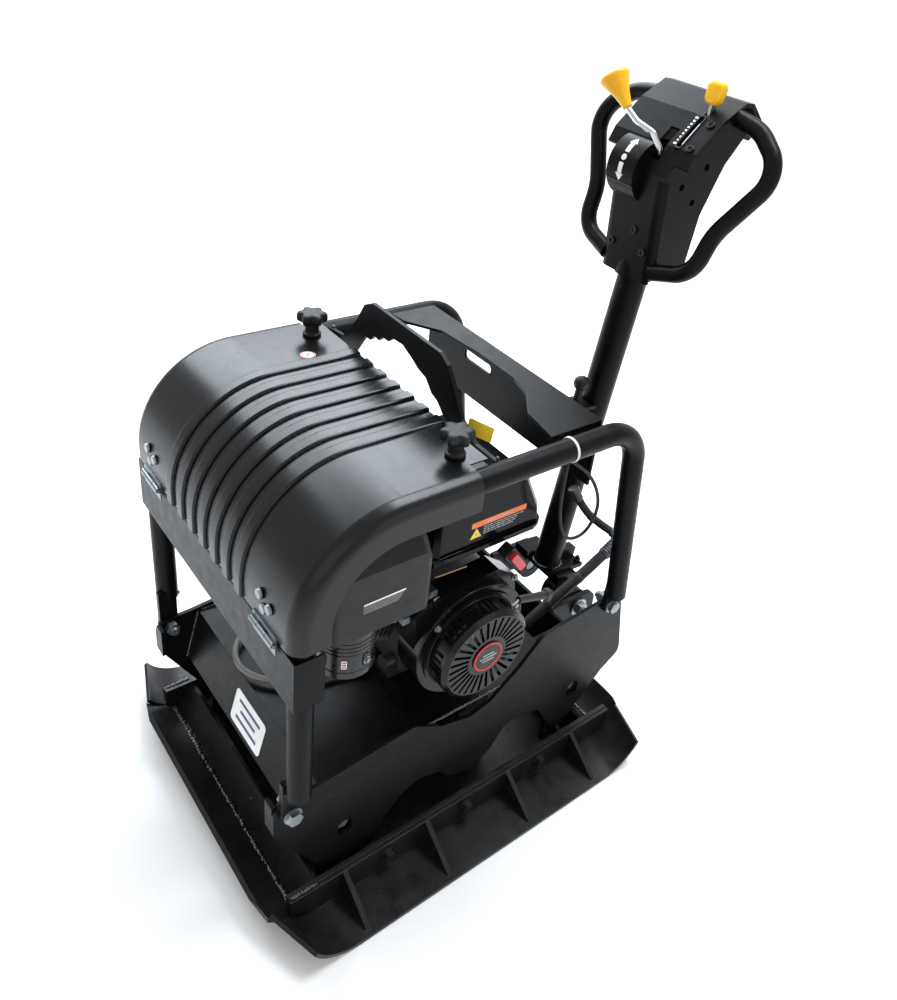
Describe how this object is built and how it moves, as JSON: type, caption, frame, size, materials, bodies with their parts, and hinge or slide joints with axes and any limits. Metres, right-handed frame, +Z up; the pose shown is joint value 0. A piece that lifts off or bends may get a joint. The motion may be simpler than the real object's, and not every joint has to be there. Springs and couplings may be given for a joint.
{
  "type": "reversible plate compactor",
  "caption": "Reversible plate compactor: ski-tipped base plate, sprung deck with petrol engine, ribbed hinged hood, lifting bail and swinging drawbar with control head.",
  "frame": {"origin": "middle of the base plate's flat sole", "axes": "+Z up; -Y towards the hooded front, +Y towards the operator's drawbar; +X the engine's starter side"},
  "size_m": [0.782, 1.15, 1.4086],
  "materials": {
    "frame_paint": "satin black powder coat",
    "hood_paint": "semi-gloss graphite paint",
    "base_paint": "satin black paint, rough weld seams",
    "zinc": "zinc-plated steel",
    "rubber": "matt moulded rubber",
    "cast": "painted casting",
    "machined": "machined steel",
    "aluminium_cast": "die-cast, dark",
    "black_plastic": "textured black plastic",
    "black_gloss": "gloss black",
    "tank_paint": "gloss black enamel",
    "clear_bowl": "smoked plastic",
    "red_plastic": "red moulded plastic",
    "grip_brown": "dark moulded plastic",
    "belt_rubber": "wrapped V-belt",
    "muffler_steel": "heat-stained steel",
    "braid": "steel-braided hose",
    "chrome": "polished",
    "knob_yellow": "yellow-orange plastic"
  },
  "bodies": {
    "lower_mass": {"base_plate": "base_paint", "extension_wing_right": "base_paint", "extension_wing_left": "base_paint", "wing_bolts": "base_paint", "buffer_bolts": "zinc", "rubber_buffers": "rubber", "exciter_housing": "cast", "exciter_end_caps": "cast", "exciter_bearings": "machined"},
    "exciter_front": {"exciter_shaft_front": "machined", "exciter_gear_front": "machined", "exciter_pulley": "cast"},
    "exciter_rear": {"exciter_shaft_rear": "machined", "exciter_gear_rear": "machined"},
    "deck": {"deck_side_right": "frame_paint", "deck_side_left": "frame_paint", "deck_floor": "frame_paint", "deck_rear_plate": "frame_paint", "frame_tube_right": "frame_paint", "frame_tube_left": "frame_paint", "frame_bolts": "zinc", "front_cross_panel": "frame_paint", "lifting_bail": "frame_paint", "rear_cross_plate": "frame_paint", "panel_hinge_leaves": "zinc", "drawbar_pivot_pins": "zinc", "engine_crankcase": "aluminium_cast", "engine_cylinder": "aluminium_cast", "fan_shroud": "black_gloss", "recoil_cover": "black_gloss", "belt_guard": "frame_paint", "drive_belts": "belt_rubber", "air_filter_box": "black_plastic", "air_filter_bowl": "clear_bowl", "carburettor": "aluminium_cast", "engine_switch": "black_plastic", "fuel_tank": "tank_paint", "muffler": "muffler_steel", "hydraulic_hoses": "rubber", "drain_hose": "braid", "throttle_cable": "rubber"},
    "engine_rotor": {"crankshaft": "machined", "flywheel": "aluminium_cast", "clutch_pulley": "cast"},
    "starter_grip": {"recoil_grip": "grip_brown"},
    "switch_rocker": {"engine_switch_rocker": "red_plastic"},
    "choke": {"choke_lever": "zinc"},
    "fuel_tap": {"fuel_lever": "zinc"},
    "tank_cap": {"fuel_cap": "black_plastic"},
    "hood": {"hood": "hood_paint", "hood_hinge_leaves": "zinc"},
    "knob_right": {"hood_knob_right": "black_plastic"},
    "knob_left": {"hood_knob_left": "black_plastic"},
    "drawbar": {"drawbar_column": "frame_paint", "drawbar_head": "frame_paint", "handle_loop_right": "frame_paint", "handle_loop_left": "frame_paint"},
    "travel_lever": {"direction_lever": "chrome"},
    "throttle": {"throttle_lever": "knob_yellow"},
    "latch": {"latch_pin": "black_plastic"}
  },
  "joints": [
    {"name": "buffer_travel", "type": "slide", "parent": "lower_mass", "child": "deck", "axis": [0, 0, 1], "range_m": [-0.005, 0.005], "stiffness_N_per_m": 400000, "springref_m": 0.0041, "deforming": ["drive_belts"]},
    {"name": "exciter_front_spin", "type": "hinge", "parent": "lower_mass", "child": "exciter_front", "pos_m": [0, -0.052, 0.1], "axis": [1, 0, 0], "continuous": true},
    {"name": "exciter_rear_spin", "type": "hinge", "parent": "lower_mass", "child": "exciter_rear", "pos_m": [0, 0.052, 0.1], "axis": [1, 0, 0], "continuous": true},
    {"name": "engine_spin", "type": "hinge", "parent": "deck", "child": "engine_rotor", "pos_m": [0, -0.008, 0.465], "axis": [1, 0, 0], "continuous": true},
    {"name": "starter_pull", "type": "slide", "parent": "deck", "child": "starter_grip", "axis": [0.799, 0.4494, 0.3995], "range_m": [0, 0.25], "stiffness_N_per_m": 30},
    {"name": "switch_tip", "type": "hinge", "parent": "deck", "child": "switch_rocker", "pos_m": [0.2465, 0.071, 0.623], "axis": [0, 0.7986, 0.6018], "range_deg": [0, 7]},
    {"name": "choke_swing", "type": "hinge", "parent": "deck", "child": "choke", "pos_m": [0.192, -0.145, 0.591], "axis": [1, 0, 0], "range_deg": [0, 30]},
    {"name": "fuel_tap_swing", "type": "hinge", "parent": "deck", "child": "fuel_tap", "pos_m": [0.192, -0.152, 0.551], "axis": [1, 0, 0], "range_deg": [-40, 0]},
    {"name": "tank_cap_turn", "type": "hinge", "parent": "deck", "child": "tank_cap", "pos_m": [0.06, -0.04, 0.8], "axis": [0, 0, 1], "range_deg": [0, 90]},
    {"name": "hood_hinge", "type": "hinge", "parent": "deck", "child": "hood", "pos_m": [0, -0.409, 0.677], "axis": [1, 0, 0], "range_deg": [0, 95]},
    {"name": "knob_right_turn", "type": "hinge", "parent": "hood", "child": "knob_right", "pos_m": [0.229, -0.088, 0.91], "axis": [0, 0, 1], "continuous": true},
    {"name": "knob_left_turn", "type": "hinge", "parent": "hood", "child": "knob_left", "pos_m": [-0.229, -0.088, 0.91], "axis": [0, 0, 1], "continuous": true},
    {"name": "drawbar_pivot", "type": "hinge", "parent": "deck", "child": "drawbar", "pos_m": [0, 0.432, 0.232], "axis": [-1, 0, 0], "range_deg": [-14, 45]},
    {"name": "travel_lever_swing", "type": "hinge", "parent": "drawbar", "child": "travel_lever", "pos_m": [0.024, 0.514, 1.236], "axis": [-1, 0, 0], "range_deg": [-8, 20]},
    {"name": "throttle_swing", "type": "hinge", "parent": "drawbar", "child": "throttle", "pos_m": [0.058, 0.562, 1.262], "axis": [-1, 0, 0], "range_deg": [-40, 0]},
    {"name": "latch_lift", "type": "slide", "parent": "drawbar", "child": "latch", "axis": [0, 0.1357, 0.9907], "range_m": [0, 0.02], "stiffness_N_per_m": 400, "springref_m": -0.02}
  ],
  "couplings": [
    {"joint": "exciter_front_spin", "follows": "engine_spin", "ratio": 1.2083},
    {"joint": "exciter_rear_spin", "follows": "engine_spin", "ratio": -1.2083}
  ]
}
